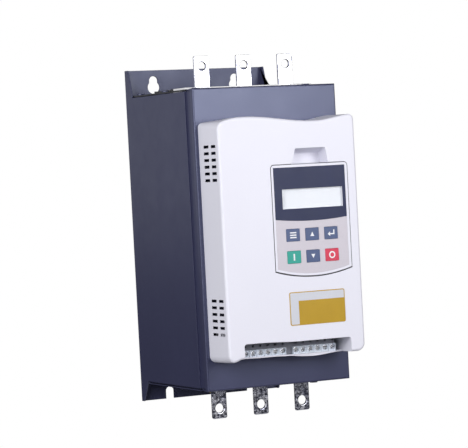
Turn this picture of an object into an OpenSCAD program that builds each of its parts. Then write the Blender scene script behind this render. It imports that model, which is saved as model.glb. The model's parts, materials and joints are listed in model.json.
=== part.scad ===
// Three-phase soft starter for a wall or mounting plate.
// Frame: origin in the middle of the rear mounting face at half the housing height,
// +X to the right seen from the front, +Y into the wall, +Z up. Millimetres.

/* [Housing] */
// Width of the folded housing
housing_w = 154; // [152:1:160]
// Height of the housing without its mounting flanges
housing_h = 290; // [288:1:300]
// Depth from the wall to the steel front panel
housing_d = 159; // [157:1:164]
// Sheet thickness
sheet = 1.5; // [1.2:0.1:1.6]
// Height of the upper edge of the mounting plate
flange_top = 171; // [170:1:175]
// Height of the lower edge of the mounting plate
flange_bottom = -163.4; // [-168:0.1:-162]
// Distance between the two mounting holes of a row
mount_pitch = 92; // [86:1:100]

/* [Front cover] */
// Depth of the moulded cover in front of the panel
cover_d = 42; // [41:0.5:44]
// Half the width of the cover
cover_hw = 73.4; // [72.5:0.1:74]
// Wall thickness of the cover
cover_wall = 2; // [1.8:0.1:2.4]
// Rows of vent slots in each group
vent_rows = 6; // [4:1:6]

/* [Keypad] */
// Width of the keypad
keypad_w = 81.8; // [81.2:0.1:82]
// Middle of the keypad, to the right of the housing's middle
keypad_x = 21.6; // [21.4:0.1:21.8]
// How far the keypad stands out of the cover
keypad_proud = 0.4; // [0.2:0.1:1]
// Width of a key
key_w = 14.4; // [13.5:0.1:14.6]
// Height of a key
key_h = 11.8; // [11:0.1:13]
// Distance between keys, across
key_pitch_x = 20.5; // [20:0.05:21]
// Distance between keys, down
key_pitch_z = 21; // [20.5:0.1:21.5]

/* [Power terminals] */
// Distance between the phases
phase_pitch = 45.6; // [45:0.1:46]
// Width of a busbar
bar_w = 16; // [15:0.1:17]
// Radius of the busbar terminal hole
bar_hole_r = 4.5; // [4:0.1:5]
// Upper end of the line-side busbars
bar_top = 177.6; // [177:0.1:182]
// Lower end of the load-side busbars
bar_bottom = -175.9; // [-180:0.1:-175]

/* [Fans] */
// Side of the square cooling fan
fan_size = 70; // [68:1:70]
// Number of blades
fan_blades = 7; // [5:1:9]

/* [Hidden] */
$fn = 48;
hx = housing_w / 2;
hz = housing_h / 2;
yp = -housing_d;              // outer face of the front panel
yc = yp - cover_d;            // front face of the cover
wall_x = hx - sheet;          // inner face of a side wall
panel_hx = hx + 0.4;          // half the width of the front panel over its folded edges
seam_y = -140;                // where a side wall steps in behind the panel's folded edge
bar_y = -118.5;               // front face of the busbars
bar_t = 3;
phase_x = -1;                 // middle phase
sink_y = -85.5;               // module seat of the heat sink
board_y = -170;               // front of the control board
pocket_y = -182;              // floor of the keypad pocket
rest_y = yc - keypad_proud;   // front face of the keypad
kz0 = -39; kz1 = 67.5;      // lower and upper edge of the keypad
arc_r = 140;                  // radius of the keypad's lower edge
key_x0 = keypad_x - 0.65;
key_z0 = 0.5;
fan_x = 36; fan_y = -39; fan_z0 = -143; fan_z1 = -118;
white = [0.90, 0.90, 0.92]; paint = [0.26, 0.27, 0.34]; panel_paint = [0.36, 0.38, 0.50];
zinc = [0.75, 0.76, 0.78]; copper = [0.80, 0.80, 0.80]; alu = [0.72, 0.73, 0.75];
green = [0.10, 0.38, 0.24]; black = [0.08, 0.08, 0.09]; grey = [0.62, 0.65, 0.70];

// ---------- helpers ----------
module bx(x0, x1, y0, y1, z0, z1) translate([x0, y0, z0]) cube([x1 - x0, y1 - y0, z1 - z0]);
module ycyl(x, z, y0, y1, r) translate([x, y1, z]) rotate([90, 0, 0]) cylinder(r = r, h = y1 - y0);
module zcyl(x, y, z0, z1, r) translate([x, y, z0]) cylinder(r = r, h = z1 - z0);
module yext(y0, y1) translate([0, y1, 0]) rotate([90, 0, 0]) linear_extrude(height = y1 - y0) children();
module xext(x0, x1) translate([x0, 0, 0]) rotate([90, 0, 90]) linear_extrude(height = x1 - x0) children();
module rect(x0, x1, z0, z1) translate([x0, z0]) square([x1 - x0, z1 - z0]);
// rectangle with round corners as squares and circles, so its edges stay true arcs
module rrect(x0, x1, z0, z1, r) {
  rect(x0 + r, x1 - r, z0, z1);
  rect(x0, x1, z0 + r, z1 - r);
  for (x = [x0 + r, x1 - r], z = [z0 + r, z1 - r]) translate([x, z]) circle(r);
}
function lerp(a, b, t) = a + (b - a) * t;

// ---------- housing ----------
module keyhole_2d(x) {
  translate([x, 153.6]) circle(6.5);
  translate([x, 160.4]) circle(4.6);
  rect(x - 4.6, x + 4.6, 153.6, 160.4);
}
module chassis() color(paint) difference() {
  union() {
    bx(-hx, hx, -sheet, 0, flange_bottom, flange_top);
    for (s = [0, 1]) mirror([s, 0, 0]) {
      xext(-hx, -wall_x) polygon([[0, flange_top], [-7.6, flange_top], [-16, hz - 2], [seam_y, hz - 2], [seam_y, -hz + 2.4],
        [-18, -hz + 2.4], [-5.5, flange_bottom], [0, flange_bottom]]);
      // step inwards and the lip that lies inside the panel's folded edge
      bx(-wall_x - 0.1, -wall_x + 1.6, seam_y, seam_y + sheet, -hz + 2.5, hz - 2.1);
      bx(-wall_x + 0.1, -wall_x + 1.6, yp + 3, seam_y + sheet, -hz + 2.5, hz - 2.1);
      // tabs that carry the grille and the bottom plate
      for (y = [-90, -30]) {
        bx(-wall_x + 0.3, -64, y, y + 16, hz - 3, hz - 1.6);
        bx(-wall_x - 0.1, -wall_x + 1.5, y, y + 16, hz - 8, hz - 2.2);
      }
      bx(-wall_x + 0.3, -64, -96, -80, -hz + 2, -hz + 3.5);
      bx(-wall_x - 0.1, -wall_x + 1.5, -96, -80, -hz + 2.6, -hz + 8);
    }
  }
  for (x = [-mount_pitch / 2, mount_pitch / 2]) {
    yext(-sheet - 1, 1) keyhole_2d(x);
    yext(-sheet - 1, 1) { translate([x, -155.6]) circle(4.3); rect(x - 4.3, x + 4.3, flange_bottom - 2, -155.6); }
  }
  for (x = [-66, 66], z = [-90, 108]) translate([x, 0, z]) rotate([90, 0, 0]) {
    cylinder(r1 = 4.6, r2 = 3.1, h = sheet);
    translate([0, 0, -1]) cylinder(r = 2.6, h = 5);
  }
  ycyl(0, -155.6, -sheet - 1, 1, 3.05);
  for (s = [-1, 1]) {
    for (y = [-82, -22]) zcyl(s * 70, y, hz - 4, hz, 2.05);
    zcyl(s * 70, -88, -hz, -hz + 5, 2.05);
  }
}
cover_bosses = [[-62, 98], [62, 98], [-62, -92], [62, -92]];
module front_panel() color(panel_paint) difference() {
  union() {
    bx(-panel_hx, panel_hx, yp, yp + sheet, -hz, hz);
    for (s = [0, 1]) mirror([s, 0, 0]) bx(-panel_hx, -panel_hx + sheet, yp, -153, -hz, hz);
    for (s = [0, 1]) mirror([0, 0, s]) {
      bx(-panel_hx, panel_hx, yp, -153, hz - sheet, hz);
      bx(-wall_x + 1.8, wall_x - 1.8, yp, -139.2, hz - sheet, hz);
    }
    bx(-wall_x + 1.8, wall_x - 1.8, -140, -126, hz - sheet, hz);
  }
  bx(-45, 45, yp - 1, yp + sheet + 1, -60, 60);
  for (b = cover_bosses) ycyl(b[0], b[1], yp - 1, yp + sheet + 1, 2.05);
  for (x = [-60, 60]) zcyl(x, -130, hz - 3, hz + 1, 2.05);
  for (x = [-43, 43]) zcyl(x, -147, -hz - 1, -hz + 3, 2.05);
}
module guard_2d() difference() {
  for (k = [0 : 3]) difference() { circle(14.5 + 5 * (k + 1) - 1.2); circle(14.5 + 5 * k); }
  for (a = [45, 135]) rotate(a) square([80, 3], center = true);
}
module bottom_plate() color(paint) difference() {
  union() {
    bx(-hx, hx, -139, -18.4, -hz, -hz + 2);
    bx(-wall_x + 0.1, wall_x - 0.1, -19, -sheet - 0.1, -hz, -hz + 2);
  }
  bx(-60, 60, -126, -108, -hz - 1, -hz + 3);
  // thinner under the side walls
  for (s = [0, 1]) mirror([s, 0, 0]) bx(-hx - 1, -73, -140, -18, -hz + 0.9, -hz + 3);
  for (s = [-1, 1]) {
    translate([s * fan_x, fan_y, -hz - 1]) linear_extrude(height = 4) guard_2d();
    for (i = [-1, 1], j = [-1, 1]) zcyl(s * fan_x + i * 31, fan_y + j * 31, -hz - 1, -hz + 3, 2.05);
    zcyl(s * 70, -88, -hz - 1, -hz + 3, 2.05);
    zcyl(s * 66, -132, -hz - 1, -hz + 3, 2.05);
  }
}
module top_grille() color(black) difference() {
  union() {
    bx(-wall_x + 0.2, wall_x - 0.2, -97.8, -sheet - 0.2, hz - sheet, hz);
    // arms beside the busbar support
    for (s = [0, 1]) mirror([s, 0, 0]) bx(-wall_x + 0.2, -wall_x + 1.6, -138.4, -97, hz - sheet, hz);
    // raised edge of each air slot
    for (i = [0 : 8]) bx(-58, 58, -90 + 10 * i, -88.8 + 10 * i, hz - 0.5, hz + (i > 1 && i < 7 ? 3.2 : 1.5));
  }
  for (i = [0 : 8], s = [0, 1]) mirror([s, 0, 0]) bx(3, 58, -88.8 + 10 * i, -83.8 + 10 * i, hz - 3, hz + 3);
  for (s = [-1, 1], y = [-82, -22]) zcyl(s * 70, y, hz - 3, hz + 1, 2.05);
}
// pan-head screw, head at z = 0 and above, shank below
module pan_screw(r, head_r, head_h, len, slot) difference() {
  union() {
    cylinder(r = head_r, h = head_h);
    translate([0, 0, -len]) cylinder(r = r, h = len + 0.5);
  }
  for (a = [0, 90]) rotate(a) translate([-head_r * 0.6, -slot / 2, head_h * 0.45]) cube([head_r * 1.2, slot, head_h]);
}
module m4() pan_screw(2, 3.8, 1.6, 10, 1);
module m4_screws() color(paint) {
  for (x = [-60, 60]) translate([x, -130, hz]) m4();
  for (x = [-43, 43]) translate([x, -147, -hz]) rotate([180, 0, 0]) m4();
  for (s = [-1, 1]) {
    for (y = [-82, -22]) translate([s * 70, y, hz]) m4();
    translate([s * 70, -88, -hz]) rotate([180, 0, 0]) m4();
    translate([s * 66, -132, -hz]) rotate([180, 0, 0]) m4();
    for (i = [-1, 1], j = [-1, 1]) translate([s * fan_x + i * 31, fan_y + j * 31, -hz]) rotate([180, 0, 0]) m4();
  }
  for (b = cover_bosses) translate([b[0], yp + sheet, b[1]]) rotate([-90, 0, 0]) m4();
}

// ---------- power section ----------
standoff_at = [[-22.9, 55], [22.9, 55], [-22.9, -55], [22.9, -55]];
phases = [phase_x - phase_pitch, phase_x, phase_x + phase_pitch];
module heat_sink() color(alu) difference() {
  union() {
    bx(-71, 71, sink_y, sink_y + 12, -110, 128);
    for (i = [-9 : 9]) bx(6.2 * i - 1, 6.2 * i + 1, sink_y + 11, -4, -110, 128);
    for (s = [0, 1]) mirror([s, 0, 0]) bx(61, 71, sink_y + 11, -sheet, -110, 128);
  }
  for (x = [-66, 66], z = [-90, 108]) ycyl(x, z, -20, 0, 2.55);
  for (x = phases, z = [-40, 40]) ycyl(x, z, sink_y - 1, sink_y + 9, 3.05);
  for (p = standoff_at) ycyl(p[0], p[1], sink_y - 1, sink_y + 7, 2.05);
}
module heat_sink_screws() color(zinc) for (x = [-66, 66], z = [-90, 108]) translate([x, 0, z]) rotate([90, 0, 0]) difference() {
  union() {
    cylinder(r1 = 4.5, r2 = 3.0, h = sheet);
    cylinder(r = 2.5, h = 18);
  }
  translate([0, 0, -0.1]) cylinder(r = 1.6, h = 1.1, $fn = 6);
}
module scr_module(x) color([0.82, 0.80, 0.76]) difference() {
  union() {
    bx(x - 17, x + 17, -93, sink_y, -47, 47);
    bx(x - 15, x + 15, bar_y + bar_t, -92, -33, 33);
    for (s = [-1, 1]) bx(x + 9 * s - 2.5, x + 9 * s + 2.5, -112, -92, -40 * s - 2.5 + 3 * s, -40 * s + 2.5 + 3 * s);
  }
  for (z = [-24, 24]) ycyl(x, z, bar_y - 1, -100, 3.05);
  for (z = [-40, 40]) ycyl(x, z, -120, sink_y + 1, 3.05);
}
module m6() pan_screw(3, 5.2, 4, 15, 1.4);
module m6_screws() color(zinc) for (x = phases) {
  for (z = [-40, 40]) translate([x, -93, z]) rotate([90, 0, 0]) m6();
  for (z = [-24, 24]) translate([x, bar_y, z]) rotate([90, 0, 0]) m6();
}
module busbar(x, z0, z1, zscrew, zhole, cut) color(copper) difference() {
  bx(x - bar_w / 2, x + bar_w / 2, bar_y, bar_y + bar_t, min(z0, z1), max(z0, z1));
  ycyl(x, zscrew, bar_y - 1, bar_y + bar_t + 1, 3.05);
  ycyl(x, zhole, bar_y - 1, bar_y + bar_t + 1, bar_hole_r);
  // cropped corners at the free end
  for (s = [-1, 1]) translate([x + s * bar_w / 2, bar_y - 1, z1]) rotate([0, 45, 0]) translate([-cut / 2, 0, -cut / 2]) cube([cut, bar_t + 2, cut]);
}
module input_busbar(x) busbar(x, 14, bar_top, 24, bar_top - 9.7, 1.2);
module output_busbar(x) busbar(x, -14, bar_bottom, -24, bar_bottom + 10.2, 1.8);
module upper_busbar_support() color(white) difference() {
  union() {
    bx(-wall_x + 1.9, wall_x - 1.9, -134, -98, hz - 12, hz - 1.6);
    bx(-69, 69, -125.5, -98, hz - 2, hz + 2.3);
  }
  for (x = phases) bx(x - bar_w / 2 - 0.2, x + bar_w / 2 + 0.2, bar_y - 0.2, bar_y + bar_t + 0.2, hz - 13, hz + 4);
  // grooves between the phases
  for (s = [-1, 1]) let (x = phase_x + s * phase_pitch / 2) bx(x - 6, x + 6, -120, -104, hz, hz + 4);
  for (x = [-60, 60]) zcyl(x, -130, hz - 11, hz, 2.05);
}
module lower_busbar_support() color(white) difference() {
  union() {
    bx(-wall_x + 2, wall_x - 2, -150, -98, -hz + 2, -hz + 14);
    bx(-59.8, 59.8, -125.8, -108.2, -hz - 1, -hz + 3);
    bx(-66, 66, -150, -139.6, -hz + sheet, -hz + 3);
  }
  for (x = phases) bx(x - bar_w / 2 - 0.2, x + bar_w / 2 + 0.2, bar_y - 0.2, bar_y + bar_t + 0.2, -hz - 3, -hz + 15);
  for (s = [-1, 1]) {
    zcyl(s * 43, -147, -hz - 1, -hz + 11.5, 2.05);
    zcyl(s * 66, -132, -hz - 1, -hz + 11.5, 2.05);
  }
}
module current_transformers() color([0.12, 0.16, 0.30]) for (x = phases) difference() {
  union() {
    bx(x - 19, x + 19, -131, -103, -hz + 14, -hz + 31);
    bx(x - 5, x + 5, -133, -130, -hz + 17, -hz + 25);
  }
  bx(x - bar_w / 2 - 0.5, x + bar_w / 2 + 0.5, bar_y - 0.6, bar_y + bar_t + 0.6, -hz + 13, -hz + 32);
}
module fan_frame(x) color(black) difference() {
  union() {
    difference() {
      bx(x - fan_size / 2, x + fan_size / 2, fan_y - fan_size / 2, fan_y + fan_size / 2, fan_z0, fan_z1);
      zcyl(x, fan_y, fan_z0 - 1, fan_z1 + 1, 33);
      for (i = [-1, 1], j = [-1, 1]) zcyl(x + i * 31, fan_y + j * 31, fan_z0 - 1, fan_z0 + 12, 2.05);
      // waist between the two flanges
      for (a = [0 : 3]) translate([x, fan_y, 0]) rotate(90 * a) bx(fan_size / 2 - 1.2, fan_size / 2 + 1, -24, 24, fan_z0 + 4, fan_z1 - 4);
    }
    zcyl(x, fan_y, fan_z0, fan_z0 + 3.4, 14);
    for (a = [45, 135]) translate([x, fan_y, 0]) rotate(a) bx(-33.4, 33.4, -2, 2, fan_z0, fan_z0 + 3);
    zcyl(x, fan_y, fan_z0 + 3, fan_z0 + 19, 4);
    zcyl(x, fan_y, fan_z0 + 5, fan_z0 + 17, 11.4);
  }
  zcyl(x, fan_y, fan_z0 + 1.5, fan_z0 + 20, 1.55);
}
module fan_rotor(x) color([0.13, 0.13, 0.14]) translate([x, fan_y, 0]) {
  zcyl(0, 0, fan_z0 + 2, fan_z1 - 3, 1.5);
  difference() {
    zcyl(0, 0, fan_z0 + 4.2, fan_z1 - 2, 14);
    zcyl(0, 0, fan_z0 + 3, fan_z1 - 4, 12.2);
  }
  intersection() {
    for (k = [0 : fan_blades - 1]) rotate(360 * k / fan_blades)
      translate([23, 0, (fan_z0 + fan_z1) / 2 + 1.5]) rotate([38, 0, 0]) cube([19.6, 17, 1.6], center = true);
    difference() {
      zcyl(0, 0, fan_z0 + 4.6, fan_z1 - 2, 32);
      zcyl(0, 0, fan_z0 + 4, fan_z1 - 1, 13.5);
    }
  }
}
module thermal_switch() color(zinc) union() {
  ycyl(0, 76, sink_y - 8, sink_y, 8);
  ycyl(0, 76, sink_y - 12, sink_y - 7, 5.5);
  bx(-9, -6, sink_y - 14, sink_y - 4, 74, 78);
  bx(6, 9, sink_y - 14, sink_y - 4, 74, 78);
}
module earth_screw() color([0.78, 0.66, 0.30]) translate([0, -sheet, -155.6]) rotate([90, 0, 0]) difference() {
  union() {
    cylinder(r = 3, h = 5);
    translate([0, 0, -sheet]) cylinder(r = 3, h = sheet + 1);
    cylinder(r = 6, h = 1.2);
    translate([0, 0, 1.2]) cylinder(r = 5.3, h = 3.6, $fn = 6);
  }
  translate([-6, -0.6, 3.9]) cube([12, 1.2, 3]);
}

// ---------- electronics behind the panel ----------
module firing_board() color(green) difference() {
  bx(-68, 68, -135, -133.4, -92, 92);
  for (p = standoff_at) ycyl(p[0], p[1], -140, -130, 1.65);
}
front_posts = [[-50, 52], [50, 52], [-50, -52], [50, -52], [-50, -88], [50, -88]];
module board_standoffs() color([0.80, 0.68, 0.35]) {
  for (p = standoff_at) difference() {
    union() {
      translate([p[0], sink_y, p[1]]) rotate([90, 0, 0]) cylinder(r = 4, h = 133.4 + sink_y, $fn = 6);
      ycyl(p[0], p[1], sink_y - 1, sink_y + 6, 2);
    }
    ycyl(p[0], p[1], -134, -122, 1.55);
  }
  for (p = front_posts) difference() {
    translate([p[0], yp, p[1]]) rotate([90, 0, 0]) cylinder(r = 3.4, h = yp - board_y - 1.6, $fn = 6);
    ycyl(p[0], p[1], board_y, yp - 1, 1.55);
  }
}
module m3() pan_screw(1.5, 2.7, 2, 7, 0.8);
module board_screws() color(zinc) {
  for (p = standoff_at) translate([p[0], -135, p[1]]) rotate([90, 0, 0]) m3();
  for (p = front_posts) translate([p[0], board_y, p[1]]) rotate([90, 0, 0]) m3();
}
module pulse_transformers() color([0.10, 0.10, 0.11]) for (x = phases, z = [-70, 70])
  difference() {
    bx(x - 10, x + 10, -149, -135, z - 9, z + 9);
    bx(x - 7, x + 7, -150, -148.4, z - 6, z + 6);
  }
module snubber_capacitors() color([0.75, 0.20, 0.12]) for (x = phases) bx(x - 5.5, x + 5.5, -152, -135, -16, 16);
module ribbon_cable() color([0.62, 0.63, 0.66]) union() {
  bx(-12.7, 12.7, -167, -141, 37.4, 38.4);
  bx(-15, 15, -142, -135, 35, 41);
  bx(-15, 15, board_y + 1.6, board_y + 8, 35, 41);
}
module control_board() color(green) difference() {
  bx(-55, 55, board_y, board_y + 1.6, -112, 58);
  for (p = front_posts) ycyl(p[0], p[1], board_y - 2, board_y + 4, 1.65);
}
module control_transformer() color([0.15, 0.15, 0.16]) union() {
  bx(-54, -24, -194, board_y, 8, 44);
  bx(-56, -22, -188, -176, 4, 48);
}
module relays() color([0.12, 0.30, 0.55]) for (z = [-72, -52, -32]) bx(-44, -25, -186, board_y, z - 8, z + 8);

// ---------- control terminals ----------
pole = 8.0;
module terminal_block(xc) color(grey) difference() {
  union() {
    bx(xc - 23.2, xc + 23.2, -179.4, board_y, -113.2, -107);
    // partitions between the poles and at the two ends
    for (i = [-2 : 2]) bx(xc + pole * i - 0.5, xc + pole * i + 0.5, -180.4, -179, -113.2, -107);
    for (s = [0, 1]) translate([xc, 0, 0]) mirror([s, 0, 0]) bx(-23.2, -22.7, -180.4, -179, -113.2, -107);
  }
  for (i = [0 : 5]) ycyl(xc + pole * (i - 2.5), -110.2, -182, -175.2, 2.75);
}
module terminal_screws() color(zinc) for (xc = [-25.6, 28.4], i = [0 : 5]) translate([xc + pole * (i - 2.5), -177.4, -110.2]) rotate([90, 0, 0]) difference() {
  union() { cylinder(r = 2.6, h = 1.6); translate([0, 0, -2.2]) cylinder(r = 1.6, h = 3); }
  rotate(20 + 37 * i) translate([-4, -0.4, 0.8]) cube([8, 0.8, 2]);
}
module terminal_headers() color([0.36, 0.37, 0.42]) difference() {
  union() {
    bx(-48.8, 51.6, -177, board_y, -106.9, -98.6);
    // filler between the two blocks
    bx(-2.3, 5.1, -177, board_y, -113.7, -106.8);
  }
  for (xc = [-25.6, 28.4], i = [0 : 5]) bx(xc + pole * (i - 2.5) + 0.3, xc + pole * (i - 2.5) + 2.3, -178, -173, -104.6, -102.4);
}
socket_z = 22;
module keypad_socket() color(black) difference() {
  bx(keypad_x - 13, keypad_x + 13, -182.8, board_y, socket_z - 4.5, socket_z + 4.5);
  bx(keypad_x - 11, keypad_x + 11, -184, -173, socket_z - 3, socket_z + 3);
}

// ---------- moulded front cover ----------
// Upper and lower edge of the cover: shallow waves across its width
function cover_top(x) =
  x < -44 ? 115.15 - 0.0026 * pow(x + 44, 2) + 0.00009 * pow(x + 44, 3) :
  x < 31 ? 112.05 + 3.1 * cos(180 * (x + 44) / 75) :
  108.95 + 2.5 * (1 - cos(180 * (x - 31) / 42));
function hump(t) = abs(t) < 1 ? (1 + cos(180 * t)) / 2 : 0;
function cover_bottom(x) = -115 - 2.2 * hump((x - 27) / 30) - 1.6 * hump((x + 68) / 11);
// corner radii: upper corners and lower left one, lower right one
corner_r = 5.5; corner_rr = 8;
// outline of the cover, drawn inwards by t at the sides and top and by tb at the bottom
function cover_outline(t, tb) = let (w = cover_hw - t, r = corner_r - t, q = corner_rr - t, e = w - r, f = w - q, n = 32) concat(
  [for (k = [0 : 6]) let (x = e + r * cos(15 * k)) [x, cover_top(x) - t - r * (1 - sin(15 * k))]],
  [for (i = [1 : n - 1]) let (x = lerp(e, -e, i / n)) [x, cover_top(x) - t]],
  [for (k = [0 : 6]) let (x = -e - r * sin(15 * k)) [x, cover_top(x) - t - r * (1 - cos(15 * k))]],
  [for (k = [0 : 6]) let (x = -e - r * cos(15 * k)) [x, cover_bottom(x) + tb + r * (1 - sin(15 * k))]],
  [for (i = [1 : n - 1]) let (x = lerp(-e, f, i / n)) [x, cover_bottom(x) + tb]],
  [for (k = [0 : 6]) let (x = f + q * sin(15 * k)) [x, cover_bottom(x) + tb + q * (1 - cos(15 * k))]]);
module keypad_2d(g) intersection() {
  rrect(keypad_x - keypad_w / 2 - g, keypad_x + keypad_w / 2 + g, kz0 - g, kz1 + g, 3 + g);
  translate([keypad_x, kz0 + arc_r]) circle(arc_r + g, $fn = 96);
}
// finger recess above the keypad: tapered sides, sloping roof
module recess(g) intersection() {
  yext(yc - 3, -184 + g) polygon([[7.6 - g, 82.8 + g], [39.9 + g, 82.8 + g], [42.7 + g, 67.6], [3.4 - g, 67.6]]);
  xext(0, 50) polygon([[yc - 3, 83.6 + g], [-184 + g, 78.6 + g], [-184 + g, 60], [yc - 3, 60]]);
}
notch_l = -56.7; notch_r = 57.9;
// upper edge of the terminal notch: lower on the right
function notch_top(x) = -100.1 + 0.7 * cos(180 * min(1, max(0, (x + 42) / 45)));
module notch_2d(g, z0) polygon(concat([[notch_l - g, z0], [notch_r + g, z0]],
  [for (i = [0 : 24]) let (x = lerp(notch_r + g, notch_l - g, i / 24)) [x, notch_top(x) + g]]));
// vent slot, wider inside so that its rear edge doesn't show
module vent(y, h, z) translate([0, 0, z - 1.4]) linear_extrude(height = 2.8)
  polygon([[-cover_hw - 1, y - h], [-cover_hw + cover_wall + 0.5, y - h], [-cover_hw + cover_wall + 0.5, y + h + 3.9],
    [-cover_hw + cover_wall, y + h + 3.3], [-cover_hw, y + h], [-cover_hw - 1, y + h]]);
module cover() color(white) difference() {
  union() {
    difference() {
      yext(yc, yp - 0.05) polygon(cover_outline(0, 0));
      yext(yc + cover_wall, yp + 1) polygon(cover_outline(cover_wall, 1.2));
    }
    // keypad pocket and finger recess
    difference() { yext(yc, pocket_y + 2) keypad_2d(2); yext(yc - 1, pocket_y) keypad_2d(0.5); }
    intersection() { recess(1.5); yext(yc, -180) rect(-10, 60, 68, 95); }
    // side and top walls of the terminal notch
    for (x = [notch_l - 1.5, notch_r]) bx(x, x + 1.5, yc, yp - 1, -114.3, notch_top(x) + 1.5);
    difference() { yext(yc, -181) notch_2d(1.5, -104); yext(yc - 1, -180) notch_2d(0, -106); }
    // lip in front of the terminals, level at the top, open between the two blocks
    intersection() {
      yext(-181.5, -180.6) polygon(cover_outline(0, 0));
      union() {
        bx(notch_l - 1, -2.5, -182, -180, -125, -113.4);
        bx(5.3, notch_r + 1, -182, -180, -125, -113.4);
      }
    }
    for (b = cover_bosses) ycyl(b[0], b[1], yc + 1, yp - 0.05, 4.5);
  }
  yext(yc - 1, pocket_y) keypad_2d(0.5);
  recess(0);
  bx(keypad_x - 14, keypad_x + 14, -184, -179, socket_z - 5.5, socket_z + 5.5);
  yext(yc - 1, -181.4) notch_2d(0, -125);
  for (s = [0, 1]) mirror([s, 0, 0]) for (v = [[-174.5, 5.3], [-189.8, 4.7]], zt = [88.4, -57.7], i = [0 : vent_rows - 1]) vent(v[0], v[1], zt - 6.37 * i);
  for (b = cover_bosses) ycyl(b[0], b[1], yp - 12, yp + 1, 2.05);
}
module blank_label() color([0.82, 0.66, 0.18]) bx(-6.9, 52.9, yc - 0.3, yc, -85.5, -53.7);

// ---------- keypad ----------
key_at = [for (j = [0, 1], i = [-1, 0, 1]) [key_x0 + key_pitch_x * i, key_z0 - key_pitch_z * j]];
lcd_x0 = keypad_x - 30.5; lcd_x1 = keypad_x + 34.6; lcd_z0 = 25.6; lcd_z1 = 44.5;
key_gap = 0.2;
boss_at = [[-35.5, 61.5], [35.5, 61.5], [-35.5, -25.5], [35.5, -25.5]];
module key_windows() for (k = key_at) rrect(k[0] - key_w / 2 - key_gap, k[0] + key_w / 2 + key_gap, k[1] - key_h / 2 - key_gap, k[1] + key_h / 2 + key_gap, 0.8);
// field of the printed films, sunk into the bezel, drawn inwards by d
module film_field_2d(d) intersection() {
  rect(keypad_x - 39 + d, keypad_x + 38.2 - d, kz0, 65.2 - d);
  translate([keypad_x, kz0 + arc_r]) circle(arc_r - 2.2 - d, $fn = 96);
}
// the line between the dark and the light film is a flat arc
film_arc_r = 330;
module film_arc_2d(g) translate([keypad_x + 1.5, 13.4 + film_arc_r]) circle(film_arc_r + g, $fn = 96);
module keypad_bezel() color(white) difference() {
  union() {
    difference() {
      yext(rest_y, -186) keypad_2d(0);
      yext(rest_y + 2.2, -185) keypad_2d(-1.8);
    }
    for (b = boss_at) ycyl(keypad_x + b[0], b[1], rest_y + 2, -186, 3);
  }
  yext(rest_y - 1, rest_y + 0.4) film_field_2d(0);
  yext(rest_y - 1, rest_y + 3) rect(lcd_x0, lcd_x1, lcd_z0, lcd_z1);
  yext(rest_y - 1, rest_y + 3) key_windows();
  for (b = boss_at) ycyl(keypad_x + b[0], b[1], -197, -185, 1.25);
}
module keypad_back() color([0.30, 0.31, 0.33]) difference() {
  union() {
    yext(-186, -184) keypad_2d(0);
    for (x = [-25, 25], z = [-26, 11, 20.5, 49.5]) ycyl(keypad_x + x, z, -190.4, -185.5, 2.2);
  }
  bx(keypad_x - 12, keypad_x + 12, -188, -182, socket_z - 4, socket_z + 4);
  for (b = boss_at) { ycyl(keypad_x + b[0], b[1], -190, -182, 1.25); ycyl(keypad_x + b[0], b[1], -185.3, -182, 2.35); }
}
module display_overlay() color([0.16, 0.19, 0.33]) yext(rest_y, rest_y + 0.4) difference() {
  intersection() { film_field_2d(0.1); film_arc_2d(0); }
  rect(lcd_x0, lcd_x1, lcd_z0, lcd_z1);
}
module key_overlay() color([0.72, 0.71, 0.70]) yext(rest_y, rest_y + 0.4) difference() {
  film_field_2d(0.1);
  film_arc_2d(0.1);
  key_windows();
}
module display_lens() color([0.85, 0.90, 0.92]) union() {
  bx(lcd_x0 + 0.15, lcd_x1 - 0.15, rest_y + 0.3, rest_y + 2.3, lcd_z0 + 0.15, lcd_z1 - 0.15);
  bx(lcd_x0 - 1.6, lcd_x1 + 1.6, rest_y + 2.25, rest_y + 2.8, lcd_z0 - 1.6, lcd_z1 + 1.6);
}
module lcd_module() color([0.88, 0.90, 0.90]) union() {
  bx(lcd_x0 - 3, lcd_x1 + 3, rest_y + 2.9, -191.5, lcd_z0 - 3, lcd_z1 + 3);
  bx(keypad_x - 35.5, keypad_x + 38, -192, -190.4, 18.5, 52);
}
module keypad_board() color(green) bx(keypad_x - 31, keypad_x + 31, -192, -190.4, -30, 16.5);
module tact_switches() color(black) for (k = key_at) {
  bx(k[0] - 3, k[0] + 3, -195.2, -192, k[1] - 3, k[1] + 3);
  ycyl(k[0], k[1], -196, -195, 1.6);
}
module keypad_plug() color(black) union() {
  bx(keypad_x - 10.5, keypad_x + 10.5, -186.4, -175, socket_z - 2.5, socket_z + 2.5);
  bx(keypad_x - 11.5, keypad_x + 11.5, -190.4, -186.2, socket_z - 3.5, socket_z + 3.5);
}
module keypad_screws() color(zinc) for (b = boss_at) translate([keypad_x + b[0], -185.3, b[1]]) rotate([-90, 0, 0]) difference() {
  union() { cylinder(r = 2.2, h = 1.1); translate([0, 0, -9]) cylinder(r = 1.2, h = 9.5); }
  for (a = [0, 90]) rotate(a) translate([-1.3, -0.3, 0.5]) cube([2.6, 0.6, 2]);
}
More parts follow.
